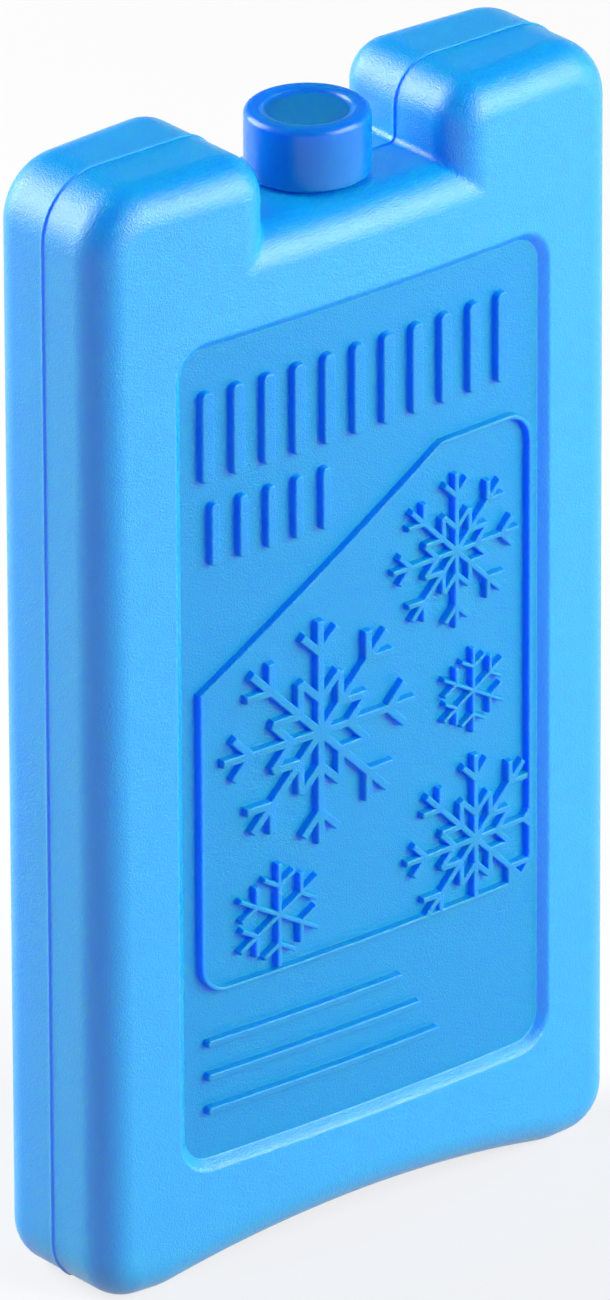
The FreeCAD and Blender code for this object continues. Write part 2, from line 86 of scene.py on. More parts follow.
FRAME_FALL = 23.4
FRAME_TURN = 11.8
FRAME_CORNER = 4.2
FRAME_WIDTH = 0.7
NECK_X = 0.4
NECK_RADIUS = 5.4
NECK_SUNK = 0.4
NECK_MIDDLE = 143.0
CAP_RADIUS = 7.9
CAP_BASE = 140.2
CAP_TOP = 148.5
CAP_BORE = 5.7
CAP_CEILING = 146.5
CAP_SKIRT_ROUND = 0.3
CAP_RIM_ROUND = 1.0
CAP_DISH = 0.6
CAP_DISH_LIP = 6.2
CAP_DISH_TURN = 50.0

# Middle, arm length and number of arms of each snowflake. The last one is cut off by the frame.
WHOLE_FLAKES = (
    (-7.8, 70.5, 15.2, 8),
    (14.3, 88.5, 10.5, 8),
    (17.1, 68.6, 5.8, 6),
    (-14.4, 47.5, 7.1, 6),
)
CUT_FLAKE = (17.5, 48.1, 11.6, 8)

# Each kind of snowflake by its number of arms: the angle of the branches in degrees, and as shares of
# an arm's length the width of a bar, the root and length of the branches, and the place of the chevrons
FLAKE_KINDS = {
    8: (45.0, 0.076, 0.71, 0.262, 0.348),
    6: (60.0, 0.105, 0.56, 0.40, 0.0),
}
CHEVRON_BLUNT = 0.70

# Upright ribs in place of lettering: number, left edge of the first, pitch, width, low and high end
UPRIGHT_RIBS = (
    (11, -25.9, 4.7, 1.9, 109.0, 121.2),
    (5, -24.6, 4.3, 1.4, 97.7, 106.1),
)

# Level ribs: number, top of the first, pitch, height, left end, right end and how much it grows
LEVEL_RIBS = (3, 33.4, 4.6, 1.1, -25.6, 5.4, 3.0)
RIB_ROUND = 0.42

# Shift outwards, share of the relief's height, and lean of the wall round raised shapes
WALL = (
    (0.10, 0.00, 0.0),
    (0.06, 0.03, 62.0),
    (0.04, 0.10, 78.0),
    (-0.02, 0.70, 76.0),
    (-0.08, 0.87, 54.0),
    (-0.16, 0.97, 26.0),
    (-0.26, 1.00, 0.0),
)

# Shift outwards, depth and lean of the rim of the panel
RIM = (
    (1.68, 0.000, 0.0),
    (1.54, 0.010, 10.0),
    (1.40, 0.048, 21.0),
    (1.26, 0.118, 32.0),
    (1.13, 0.213, 40.0),
    (0.84, 0.465, 43.0),
    (0.52, 0.765, 46.0),
    (0.26, 1.030, 46.0),
    (0.17, 1.085, 24.0),
    (0.08, 1.100, 0.0),
)

# Rows across the narrow side: distance from the parting plane, share of the seam's rise, and lean
SEAM_ROWS = (
    (3.0, 0.0, 0.0),
    (2.4, 0.0, 0.0),
    (1.8, 0.0, 0.0),
    (1.2, 0.0, 0.0),
    (0.7, 0.0, 0.0),
    (0.36, 0.0, 8.0),
    (0.26, 0.25, 50.0),
    (0.14, 0.85, 40.0),
    (0.0, 1.0, 0.0),
)

# Fineness of the meshes: numbers of steps and sides, and steps of the loose points with their margin
ROUND_STEPS = 12
CAP_SIDES = 144
NECK_SIDES = 64
FLOOR_GRID = 3.0
FRONT_GRID = 4.0
GRID_MARGIN = 0.1

# Distances within which points of the relief, vertices, triangle corners and outline points are one
SAME_PLACE = 0.03
SAME_VERTEX = 1e-4
SAME_CORNER = 1e-5
SAME_POINT = 1e-6

# Limits for a sharp bend, a straight one, a thin loop, a long mitre and an empty triangle
SHARP_BEND = math.cos(math.radians(38.0))
STRAIGHT = 0.01
THIN_LOOP = 0.12
LONG_MITRE = 0.4
NO_AREA = 1e-9

# Plastic: how far red, green and blue light spread inside it, and scale and height of waves and grain
SPREAD = (0.01, 0.04, 1.0)
SPREAD_SCALE = 0.009
WAVE_SCALE = 60.0
WAVE_HEIGHT = 0.001
GRAIN_SCALE = 4200.0
GRAIN_HEIGHT = 0.00012

# Colour, roughness, gloss, strength of the grain and strength of the slow waves
SHELL_BLUE = ((0.001, 0.43, 0.92), 0.30, 0.72, 0.9, 0.05)
# The panel's floor and relief take a darker blue than the shell, with less gloss
PANEL_BLUE = ((0.001, 0.33, 0.74), 0.26, 0.40, 0.9, 0.05)
CAP_BLUE = ((0.001, 0.23, 0.80), 0.27, 0.48, 0.2, 0.0)

# Studio: floor and wall, how white they look, how much light they send back, and the plain world
FLOOR_REACH = 9.0
FLOOR_SIDES = 128
WALL_REACH = 2.0
WALL_BEND = 0.5
WALL_RINGS = 13
SEEN_WHITE = 0.75
SEEN_MATT = 0.8
BOUNCE = 0.28
WORLD_STRENGTH = 0.08

# Place that the soft boxes face, and of each its azimuth, 0 in front and 90 to the right, its
# elevation, distance, width, height and radiance
LIT_PLACE = Vector((0.0, 0.0, 0.08))
RIGHT_BOX = (33.0, 20.0, 1.20, 1.04, 0.90, 7.8)
LEFT_BOX = (-148.0, 24.0, 1.20, 0.90, 0.88, 9.6)


# Small helpers for outlines

def unit(vectors):
    vectors = np.asarray(vectors, float)
    length = np.linalg.norm(vectors, axis=-1, keepdims=True)
    return vectors / np.where(length > 0, length, 1.0)


def arc_points(centre, radius, start, stop, step):
    """Points along an arc and their directions away from its centre, angles in degrees."""
    count = max(2, int(math.ceil(abs(stop - start) / step)) + 1)
    turn = np.radians(np.linspace(start, stop, count))
    away = np.stack((np.cos(turn), np.sin(turn)), 1)
    return np.asarray(centre) + radius * away, away


def rounded_loop(corners, step=9.0, run=3.5):
    """Anticlockwise loop through corners (x, z, radius), and the outward direction at each point."""
    count = len(corners)
    rows = []
    for i in range(count):
        x, z, radius = corners[i]
        here = np.array((x, z))
        back = unit(np.array(corners[i - 1][:2]) - here)
        ahead = unit(np.array(corners[(i + 1) % count][:2]) - here)
        if radius <= 0:
            rows.append((np.array([here]), np.array([unit(-back - ahead)])))
            continue
        half = 0.5 * math.acos(np.clip(np.dot(back, ahead), -1, 1))
        reach = radius / math.tan(half)
        centre = here + unit(back + ahead) * radius / math.sin(half)
        first = here + back * reach - centre
        last = here + ahead * reach - centre
        start = math.degrees(math.atan2(first[1], first[0]))
        stop = math.degrees(math.atan2(last[1], last[0]))
        while stop < start:
            stop += 360.0
        rows.append(arc_points(centre, radius, start, stop, step))
    loop = []
    away = []
    for i in range(count):
        loop.extend(rows[i][0])
        away.extend(rows[i][1])
        a = rows[i][0][-1]
        b = rows[(i + 1) % count][0][0]
        along = unit(b - a)
        pieces = max(1, int(math.ceil(np.hypot(*(b - a)) / run)))
        for k in range(1, pieces):
            loop.append(a + (b - a) * k / pieces)
            away.append(np.array((along[1], -along[0])))
    return np.array(loop), np.array(away)


def signed_area(loop):
    x, z = loop[:, 0], loop[:, 1]
    return 0.5 * np.sum(x * np.roll(z, -1) - np.roll(x, -1) * z)


def inside(loop, points):
    """Whether each point lies in a closed loop."""
    x, z = points[:, 0], points[:, 1]
    result = np.zeros(len(points), bool)
    for (ax, az), (bx, bz) in zip(loop, np.roll(loop, -1, axis=0)):
        if az == bz:
            continue
        crosses = (az > z) != (bz > z)
        result ^= crosses & (x < ax + (z - az) * (bx - ax) / (bz - az))
    return result


def inside_all(loops, points):
    result = np.zeros(len(points), bool)
    for loop in loops:
        result ^= inside(loop, points)
    return result


def triangulate(loops, extra=()):
    """Triangles that keep every edge of the loops, with some loose points between them."""
    places = []
    edges = []
    for loop in loops:
        start = len(places)
        count = len(loop)
        places.extend(Vector((float(x), float(z))) for x, z in loop)
        edges.extend((start + i, start + (i + 1) % count) for i in range(count))
    places.extend(Vector((float(x), float(z))) for x, z in extra)
    found = delaunay_2d_cdt(places, edges, [], 0, SAME_CORNER)
    points = np.array([(p.x, p.y) for p in found[0]])
    index = np.array([list(face) for face in found[2]])
    corners = points[index]
    ab = corners[:, 1] - corners[:, 0]
    ac = corners[:, 2] - corners[:, 0]
    turn = ab[:, 0] * ac[:, 1] - ab[:, 1] * ac[:, 0]
    index = np.where((turn < 0)[:, None], index[:, ::-1], index)
    return points, index[np.abs(turn) > NO_AREA]


def loose_points(reach, low, high, step, loops, gap):
    """Staggered grid inside the loops, kept clear of their corners."""
    xs = np.arange(-reach, reach + GRID_MARGIN, step)
    zs = np.arange(low, high + GRID_MARGIN, step)
    gx, gz = np.meshgrid(xs, zs)
    gx = gx + (np.arange(len(zs)) % 2)[:, None] * step / 2
    points = np.stack((gx.ravel(), gz.ravel()), 1)
    points = points[inside_all(loops, points)]
    corners = np.vstack(loops)
    near = [np.min(np.sum((corners - point) ** 2, axis=1)) for point in points]
    return points[np.array(near) > gap * gap]


# The crowned front as a surface

def crown_point(x, z, depth):
    """Point of the front, a given depth below its crowned surface."""
    y = CROWN_AXIS - np.sqrt((CROWN_RADIUS - depth) ** 2 - x ** 2)
    return np.stack((x, y, z), -1)


def crown_normal(x):
    lean = x / CROWN_RADIUS
    return np.stack((lean, -np.sqrt(1 - lean ** 2), np.zeros_like(x)), -1)


def tilted(x, across, angle):
    """Crown normal leaned by an angle towards a direction in the plane of the front."""
    base = crown_normal(x)
    lean = np.stack((across[..., 0], np.zeros_like(x), across[..., 1]), -1)
    return unit(base * math.cos(math.radians(angle)) + lean * math.sin(math.radians(angle)))


class Skin:
    """Faces that carry a normal at each of their corners. Equal places become one vertex."""

    def __init__(self):
        self.places = []
        self.normals = []
        self.faces = []
        self.slots = []
        self.slot = 0
        self.count = 0

    def add(self, places, normals):
        places = np.asarray(places, float).reshape(-1, 3)
        self.places.append(places)
        self.normals.append(np.asarray(normals, float).reshape(-1, 3))
        start = self.count
        self.count += len(places)
        return np.arange(start, self.count)

    def put(self, faces):
        self.faces.extend(faces.tolist())
        self.slots.extend([self.slot] * len(faces))

    def strip(self, low, high, flip=False):
        """Quads between two closed rows with the same number of vertices."""
        self.bands(low, np.roll(low, -1), high, np.roll(high, -1), flip)

    def bands(self, low_start, low_end, high_start, high_end, flip=False):
        quads = np.stack((low_start, low_end, high_end, high_start), 1)
        if flip:
            quads = quads[:, ::-1]
        self.put(quads)

    def sheet(self, loops, extra, depth, back=False):
        """Crowned sheet over what the loops enclose."""
        points, index = triangulate(loops, extra)
        index = index[inside_all(loops, points[index].mean(axis=1))]
        place = crown_point(points[:, 0], points[:, 1], depth)
        normal = crown_normal(points[:, 0])
        if back:
            place[:, 1] *= -1
            normal[:, 1] *= -1
            index = index[:, ::-1]
        self.put(self.add(place, normal)[index])

    def mesh(self, name):
        places = np.vstack(self.places)
        normals = unit(np.vstack(self.normals))
        keys = np.round(places / SAME_VERTEX).astype(np.int64)
        _, first, inverse = np.unique(keys, axis=0, return_index=True, return_inverse=True)
        inverse = inverse.reshape(-1).tolist()
        faces = []
        slots = []
        corner_normals = []
        for face, slot in zip(self.faces, self.slots):
            merged = []
            kept = []
            for corner in face:
                if inverse[corner] not in merged:
                    merged.append(inverse[corner])
                    kept.append(corner)
            if len(merged) > 2:
                faces.append(merged)
                slots.append(slot)
                corner_normals.extend(kept)
        mesh = bpy.data.meshes.new(name)
        mesh.from_pydata((places[first] * MM).tolist(), [], faces)
        mesh.polygons.foreach_set("use_smooth", [True] * len(mesh.polygons))
        mesh.polygons.foreach_set("material_index", slots)
        mesh.update()
        mesh.normals_split_custom_set(normals[corner_normals].tolist())
        return mesh


# Outline of the bottle

def half_outline():
    """Right half from the middle of the arch to the notch: points, outward and inward directions."""
    points = []
    outward = []
    shifts = []

    def add(place, away, shift=None):
        for i, p in enumerate(place):
            if points and np.hypot(*(np.asarray(points[-1]) - p)) < SAME_POINT:
                continue
            points.append(np.asarray(p, float))
            outward.append(np.asarray(away[i], float))
            shifts.append(-outward[-1] if shift is None else np.asarray(shift[i], float))

    arch_radius = (FOOT_REACH ** 2 + ARCH_RISE ** 2) / (2 * ARCH_RISE)
    arch_centre = (0.0, ARCH_RISE - arch_radius)
    climb = FOOT_BLEND - arch_centre[1]
    blend_x = math.sqrt((arch_radius + FOOT_BLEND) ** 2 - climb ** 2)
    meet = math.degrees(math.atan2(climb, blend_x))
    place, away = arc_points(arch_centre, arch_radius, 90.0, meet, step=1.2)
    add(place, -away)
    add(*arc_points((blend_x, FOOT_BLEND), FOOT_BLEND, meet - 180.0, -90.0, step=3.0))
    foot_x = HALF_WIDTH - FOOT_CORNER
    foot = np.linspace(blend_x, foot_x, num=3)
    add([(x, 0.0) for x in foot], [(0.0, -1.0)] * len(foot))
    add(*arc_points((foot_x, FOOT_CORNER), FOOT_CORNER, -90.0, 0.0, step=6.0))
    side = np.linspace(FOOT_CORNER, HEIGHT - TOP_CORNER, num=30)
    add([(HALF_WIDTH, z) for z in side], [(1.0, 0.0)] * len(side))
    add(*arc_points((HALF_WIDTH - TOP_CORNER, HEIGHT - TOP_CORNER), TOP_CORNER, 0.0, 90.0, step=5.0))
    crest_x = HALF_NOTCH + CREST_CORNER
    top = np.linspace(HALF_WIDTH - TOP_CORNER, crest_x, num=6)
    add([(x, HEIGHT) for x in top], [(0.0, 1.0)] * len(top))
    add(*arc_points((crest_x, HEIGHT - CREST_CORNER), CREST_CORNER, 90.0, 180.0, step=6.0))
    high = HEIGHT - CREST_CORNER
    low = NOTCH_FLOOR + NOTCH_CREASE
    wall = np.linspace(high, low, num=6)
    wall_shift = [(1.0, -(high - z) / (high - low)) for z in wall]
    add([(HALF_NOTCH, z) for z in wall], [(-1.0, 0.0)] * len(wall), wall_shift)
    start = HALF_NOTCH - NOTCH_CREASE
    place, away = arc_points((start, low), NOTCH_CREASE, 0.0, -90.0, step=11.0)
    add(place, -away, [(1.0, -1.0)] * len(place))
    floor = np.linspace(start, 0.0, num=9)
    floor_shift = [(x / start, -1.0) for x in floor]
    add([(x, NOTCH_FLOOR) for x in floor], [(0.0, 1.0)] * len(floor), floor_shift)
    return np.array(points), np.array(outward), np.array(shifts)


def full_outline():
    flip = np.array((-1.0, 1.0))
    result = []
    for row in half_outline():
        mirror = row[len(row) - 2:0:-1] * flip
        result.append(np.vstack((row, mirror)))
    return result


def add_sides(skin):
    """Rounded edges and narrow sides. Returns the line where the rounding meets the front."""
    points, outward, shifts = full_outline()
    r = EDGE_ROUND
    middle_x = points[:, 0] + shifts[:, 0] * r
    lean = middle_x / (CROWN_RADIUS - r)
    level = np.sqrt((CROWN_RADIUS - r) ** 2 - middle_x ** 2) - CROWN_AXIS
    away = np.stack((outward[:, 0], np.zeros(len(points)), outward[:, 1]), 1)
    front_line = None
    edge_rows = []
    for side in (-1, 1):
        face = np.stack((lean, side * np.sqrt(1 - lean ** 2), np.zeros(len(points))), 1)
        angle = np.arccos(np.clip(np.sum(away * face, axis=1), -1, 1))
        rows = []
        for t in np.linspace(0.0, 1.0, ROUND_STEPS):
            a = np.sin((1 - t) * angle) / np.sin(angle)
            b = np.sin(t * angle) / np.sin(angle)
            x = points[:, 0] + shifts[:, 0] * r * (1 - a) + r * b * face[:, 0]
            z = points[:, 1] + shifts[:, 1] * r * (1 - a)
            y = side * level + r * b * face[:, 1]
            rows.append(skin.add(np.stack((x, y, z), 1), away * a[:, None] + face * b[:, None]))
            front_line = np.stack((x, z), 1)
        for outer, inner in zip(rows, rows[1:]):
            skin.strip(outer, inner, flip=side > 0)
        edge_rows.append(rows[0])
    beaded = ~((np.abs(points[:, 0]) < SEAM_TOE) & (points[:, 1] < SEAM_TOE_HEIGHT))
    levels = [(-d, rise, turn) for d, rise, turn in SEAM_ROWS]
    levels += [(d, rise, turn) for d, rise, turn in reversed(SEAM_ROWS[:-1])]
    rows = [edge_rows[0]]
    for y, rise, turn in levels:
        out = np.where(beaded, rise * SEAM_RISE, 0.0)
        lean_y = np.where(beaded, math.radians(turn), 0.0) * (-1.0 if y < 0 else 1.0)
        x = points[:, 0] + outward[:, 0] * out
        z = points[:, 1] + outward[:, 1] * out
        normal = away * np.cos(lean_y)[:, None] + np.array((0.0, 1.0, 0.0)) * np.sin(lean_y)[:, None]
        if abs(y) < GROOVE_HALF:
            root = math.sqrt(GROOVE_RADIUS ** 2 - y ** 2)
            groove = root - GROOVE_RADIUS + GROOVE_SINK
            dented = (outward[:, 1] < 0) & (z < groove) & (np.abs(points[:, 0]) > FOOT_REACH / 2)
            z = np.where(dented, groove, z)
            normal = np.where(dented[:, None], unit(np.array((0.0, -y, -root))), normal)
        rows.append(skin.add(np.stack((x, np.full(len(points), y), z), 1), normal))
    rows.append(edge_rows[1])
    for low, high in zip(rows, rows[1:]):
        skin.strip(low, high, flip=True)
    return front_line


# Relief on the panel

def turned(points, angle, middle):
    c, s = math.cos(angle), math.sin(angle)
    points = np.asarray(points)
    x = points[:, 0] * c + points[:, 1] * s
    z = points[:, 1] * c - points[:, 0] * s
    return np.stack((x, z), 1) + middle


def flake_polygons(x, z, arm, arms):
    """Arms with two branches each, and chevrons between the arms of the eight-armed kind."""
    degrees, width, root, branch, place = FLAKE_KINDS[arms]
    angle = math.radians(degrees)
    half = arm * width / 2
    root = arm * root
    length = arm * branch
    sine, cosine, slope = math.sin(angle), math.cos(angle), math.tan(angle / 2)
    side = [
        (half, 0.0),
        (half, root - half * sine + half * slope * cosine),
        (half * cosine + length * sine, root - half * sine + length * cosine),
        (length * sine - half * cosine, root + half * sine + length * cosine),
        (half, root + half * sine + half / slope * cosine),
        (half, arm),
    ]
    outline = side + [(-a, b) for a, b in reversed(side)]
    step = 2 * math.pi / arms
    shapes = []
    for i in range(arms):
        shapes.append(turned(outline, step * i, (x, z)))
        if place:
            outer = arm * place
            inner = outer - half * 2 / math.sin(step)
            blunt = outer * CHEVRON_BLUNT
            sx, sz = math.sin(step), math.cos(step)
            chevron = [
                (0.0, outer),
                (blunt * sx, outer + blunt * sz),
                (outer * sx, outer * sz + blunt),
                (outer * sx, outer * sz),
                (inner * sx, inner * sz),
                (inner * sx, inner * sz + inner),
                (0.0, inner),
            ]
            shapes.append(turned(chevron, step * i, (x, z)))
    return shapes


def frame_corners(inset):
    """Corners of the frame, anticlockwise from the lower right. The slant takes the place of one."""
    slope = math.atan2(FRAME_FALL, FRAME_TURN - FRAME_LEFT)
    corner = FRAME_CORNER - inset
    low_shift = inset * math.tan((math.pi / 2 - slope) / 2)
    high_shift = inset * math.tan(slope / 2)
    return [
        (FRAME_RIGHT - inset, FRAME_LOW + inset, corner),
        (FRAME_RIGHT - inset, FRAME_HIGH - inset, corner),
        (FRAME_TURN + high_shift, FRAME_HIGH - inset, 0),
        (FRAME_LEFT + inset, FRAME_HIGH - FRAME_FALL - low_shift, 0),
        (FRAME_LEFT + inset, FRAME_LOW + inset, corner),
    ]


def bar(x0, z0, x1, z1):
    """Upright or level bar with rounded ends."""
    radius = min(x1 - x0, z1 - z0) * RIB_ROUND
    corners = [(x, z, radius) for x, z in ((x0, z0), (x1, z0), (x1, z1), (x0, z1))]
    return rounded_loop(corners, step=18.0)[0]


def rib_bars():
    bars = []
    for count, first, pitch, width, low, high in UPRIGHT_RIBS:
        for i in range(count):
            left = first + pitch * i
            bars.append(bar(left, low, left + width, high))
    count, first, pitch, height, left, right, growth = LEVEL_RIBS
    for i in range(count):
        high = first - pitch * i
        bars.append(bar(left, high - height, right + growth * i, high))
    return bars


def chained(edges):
    """Closed loops of vertex numbers from directed edges."""
    following = {}
    for a, b in edges:
        following.setdefault(a, []).append(b)
    loops = []
    while following:
        start = next(iter(following))
        loop = [start]
        while True:
            ways = following[loop[-1]]
            step = ways.pop()
            if not ways:
                del following[loop[-1]]
            if step == start:
                break
            loop.append(step)
        loops.append(loop)
    return loops


def simplified(loop, run=3.0):
    """The loop without doubled corners and corners that don't turn, long runs divided."""
    loop = np.array([p for i, p in enumerate(loop) if np.hypot(*(p - loop[i - 1])) > SAME_PLACE])
    before = unit(loop - np.roll(loop, 1, axis=0))
    after = unit(np.roll(loop, -1, axis=0) - loop)
    bend = np.abs(before[:, 0] * after[:, 1] - before[:, 1] * after[:, 0])
    loop = loop[bend > STRAIGHT]
    result = []
    for here, there in zip(loop, np.roll(loop, -1, axis=0)):
        pieces = max(1, int(np.hypot(*(there - here)) // run))
        result.extend(here + (there - here) * k / pieces for k in range(pieces))
    return np.array(result)


def relief_loops():
    """Outlines of everything that stands up from the panel. Where shapes overlap they are one."""
    outer = rounded_loop(frame_corners(0))[0]
    inner = rounded_loop(frame_corners(FRAME_WIDTH))[0]
    whole = [shape for flake in WHOLE_FLAKES for shape in flake_polygons(*flake)]
    cut = flake_polygons(*CUT_FLAKE)
    points, index = triangulate(whole + cut + [outer, inner])
    centres = points[index].mean(axis=1)
    in_frame = inside(outer, centres)
    raised = in_frame & ~inside(inner, centres)
    for shape in whole:
        raised |= inside(shape, centres)
    for shape in cut:
        raised |= inside(shape, centres) & in_frame
    edges = set()
    for a, b, c in index[raised].tolist():
        edges.update(((a, b), (b, c), (c, a)))
    border = sorted(edge for edge in edges if (edge[1], edge[0]) not in edges)
    loops = []
    for chain in chained(border):
        loop = simplified(points[chain])
        if len(loop) < 3:
            continue
        length = np.sum(np.hypot(*(np.roll(loop, -1, axis=0) - loop).T))
        if abs(signed_area(loop)) / length > THIN_LOOP:
            loops.append(loop)
    return loops + rib_bars()


def add_relief(skin):
    """Raised shapes with soft edges. Returns the loops where they meet the floor."""
    roots = []
    tops = []
    for loop in relief_loops():
        along = unit(np.roll(loop, -1, axis=0) - loop)
        after = np.stack((along[:, 1], -along[:, 0]), 1)
        before = np.roll(after, 1, axis=0)
        level = np.sum(before * after, axis=1)
        shift = (before + after) / np.maximum(1 + level, LONG_MITRE)[:, None]
        soft = (level > SHARP_BEND)[:, None]
        middle = unit(before + after)
        start_lean = np.where(soft, middle, after)
        end_lean = np.roll(np.where(soft, middle, before), -1, axis=0)
        starts = []
        ends = []
        for out, height, angle in WALL:
            line = loop + shift * out
            x, z = line[:, 0], line[:, 1]
            place = crown_point(x, z, PANEL_SINK - height * RELIEF_RISE)
            starts.append(skin.add(place, tilted(x, start_lean, angle)))
            end_place = np.roll(place, -1, axis=0)
            ends.append(skin.add(end_place, tilted(end_place[:, 0], end_lean, angle)))
        for i in range(len(WALL) - 1):
            skin.bands(starts[i], ends[i], starts[i + 1], ends[i + 1])
        roots.append(loop + shift * WALL[0][0])
        tops.append(loop + shift * WALL[-1][0])
    skin.sheet(tops, (), PANEL_SINK - RELIEF_RISE)
    return roots


def add_panel(skin):
    """Rounded rim, floor and relief of the panel. Returns the outer line of the rim."""
    corners = []
    for x, z in ((1, 0), (1, 1), (-1, 1), (-1, 0)):
        corners.append((x * PANEL_HALF, PANEL_HIGH if z else PANEL_LOW, PANEL_CORNER))
    base, away = rounded_loop(corners, step=6.0)
    rows = []
    lines = []
    for out, depth, angle in RIM:
        line = base + away * out
        lines.append(line)
        x, z = line[:, 0], line[:, 1]
        rows.append(skin.add(crown_point(x, z, depth), tilted(x, -away, angle)))
    for outer, inner in zip(rows, rows[1:]):
        skin.strip(outer, inner)
    # The panel's floor and relief get the second material, the darker blue
    skin.slot = 1
    loops = [lines[-1]] + add_relief(skin)
    extra = loose_points(PANEL_HALF, PANEL_LOW, PANEL_HIGH, FLOOR_GRID, loops, gap=1.0)
    skin.sheet(loops, extra, PANEL_SINK)
    skin.slot = 0
    return lines[0]


def add_neck(skin):
    turn = np.linspace(0, 2 * math.pi, NECK_SIDES + 1)[:-1]
    away = np.stack((np.cos(turn), np.sin(turn), np.zeros(NECK_SIDES)), 1)
    rows = []
    for z in (NOTCH_FLOOR - NECK_SUNK, NECK_MIDDLE, CAP_CEILING):
        rows.append(skin.add(away * NECK_RADIUS + np.array((NECK_X, 0.0, z)), away))
    for low, high in zip(rows, rows[1:]):
        skin.strip(low, high)


def bottle_mesh():
    skin = Skin()
    front_line = add_sides(skin)
    rim_line = add_panel(skin)
    for loops, back in (([front_line, rim_line], False), ([front_line], True)):
        extra = loose_points(HALF_WIDTH, FRONT_GRID, HEIGHT, FRONT_GRID, loops, gap=1.5)
        skin.sheet(loops, extra, 0.0, back)
    add_neck(skin)
    return skin.mesh("bottle_shell")


# Cap

def cap_profile():
    """Closed section of (radius, height), with the outward direction at both ends of each edge."""
    path = []

    def line(a, b):
        along = unit(np.array(b) - np.array(a))
        away = (along[1], -along[0])
        path.append((a, away))
        path.append((b, away))

    def arc(centre, radius, start, stop):
        place, away = arc_points(centre, abs(radius), start, stop, step=7.5)
        sign = 1.0 if radius > 0 else -1.0
        path.extend((tuple(p), tuple(sign * q)) for p, q in zip(place, away))

    line((0.0, CAP_CEILING), (CAP_BORE, CAP_CEILING))
    line((CAP_BORE, CAP_CEILING), (CAP_BORE, CAP_BASE))
    line((CAP_BORE, CAP_BASE), (CAP_RADIUS - CAP_SKIRT_ROUND, CAP_BASE))
    arc((CAP_RADIUS - CAP_SKIRT_ROUND, CAP_BASE + CAP_SKIRT_ROUND), CAP_SKIRT_ROUND, -90.0, 0.0)
    for z in np.linspace(CAP_BASE + CAP_SKIRT_ROUND, CAP_TOP - CAP_RIM_ROUND, num=5):
        path.append(((CAP_RADIUS, z), (1.0, 0.0)))
    arc((CAP_RADIUS - CAP_RIM_ROUND, CAP_TOP - CAP_RIM_ROUND), CAP_RIM_ROUND, 0.0, 90.0)
    dish_round = CAP_DISH / 2 / (1 - math.cos(math.radians(CAP_DISH_TURN)))
    dish_floor = CAP_TOP - CAP_DISH
    dish_x = CAP_DISH_LIP - 2 * dish_round * math.sin(math.radians(CAP_DISH_TURN))
    arc((CAP_DISH_LIP, CAP_TOP - dish_round), dish_round, 90.0, 90.0 + CAP_DISH_TURN)
    arc((dish_x, dish_floor + dish_round), -dish_round, CAP_DISH_TURN - 90.0, -90.0)
    line((dish_x, dish_floor), (0.0, dish_floor))
    return path


def cap_mesh():
    turn = np.linspace(0, 2 * math.pi, CAP_SIDES + 1)[:-1]
    along_x = np.cos(turn)
    along_y = np.sin(turn)
    skin = Skin()
    rows = []
    for (radius, height), (out, up) in cap_profile():
        place = (radius * along_x + NECK_X, radius * along_y, np.full(CAP_SIDES, height))
        normal = (out * along_x, out * along_y, np.full(CAP_SIDES, up))
        rows.append(skin.add(np.stack(place, 1), np.stack(normal, 1)))
    for low, high in zip(rows, rows[1:]):
        skin.strip(low, high)
    return skin.mesh("cap_shell")


# Materials

def node_tree(owner):
    """Emptied node tree of a material or world."""
    owner.use_nodes = True
    tree = owner.node_tree
    tree.nodes.clear()
    return tree


def noise_bump(tree, coords, scale, detail, strength, height):
    noise = tree.nodes.new("ShaderNodeTexNoise")
    noise.inputs["Scale"].default_value = scale
    noise.inputs["Detail"].default_value = detail
    bump = tree.nodes.new("ShaderNodeBump")
    bump.inputs["Strength"].default_value = strength
    bump.inputs["Distance"].default_value = height
    tree.links.new(coords, noise.inputs["Vector"])
    tree.links.new(noise.outputs["Fac"], bump.inputs["Height"])
    return bump


def plastic(name, colour, roughness, gloss, grain, wave):
    """Coloured plastic that light enters a little way, with a fine blasted grain."""
    material = bpy.data.materials.new(name)
    tree = node_tree(material)
    out = tree.nodes.new("ShaderNodeOutputMaterial")
    shader = tree.nodes.new("ShaderNodeBsdfPrincipled")
    shader.inputs["Base Color"].default_value = (*colour, 1.0)
    shader.inputs["Roughness"].default_value = roughness
    shader.inputs["Specular IOR Level"].default_value = gloss
    shader.inputs["Subsurface Weight"].default_value = 1.0
    shader.inputs["Subsurface Radius"].default_value = SPREAD
    shader.inputs["Subsurface Scale"].default_value = SPREAD_SCALE
    coords = tree.nodes.new("ShaderNodeTexCoord").outputs["Object"]
    slow = noise_bump(tree, coords, WAVE_SCALE, detail=1.0, strength=wave, height=WAVE_HEIGHT)
    fine = noise_bump(tree, coords, GRAIN_SCALE, detail=2.0, strength=grain, height=GRAIN_HEIGHT)
    tree.links.new(slow.outputs["Normal"], fine.inputs["Normal"])
    tree.links.new(fine.outputs["Normal"], shader.inputs["Normal"])
    tree.links.new(shader.outputs["BSDF"], out.inputs["Surface"])
    return material


# Stage, camera and light

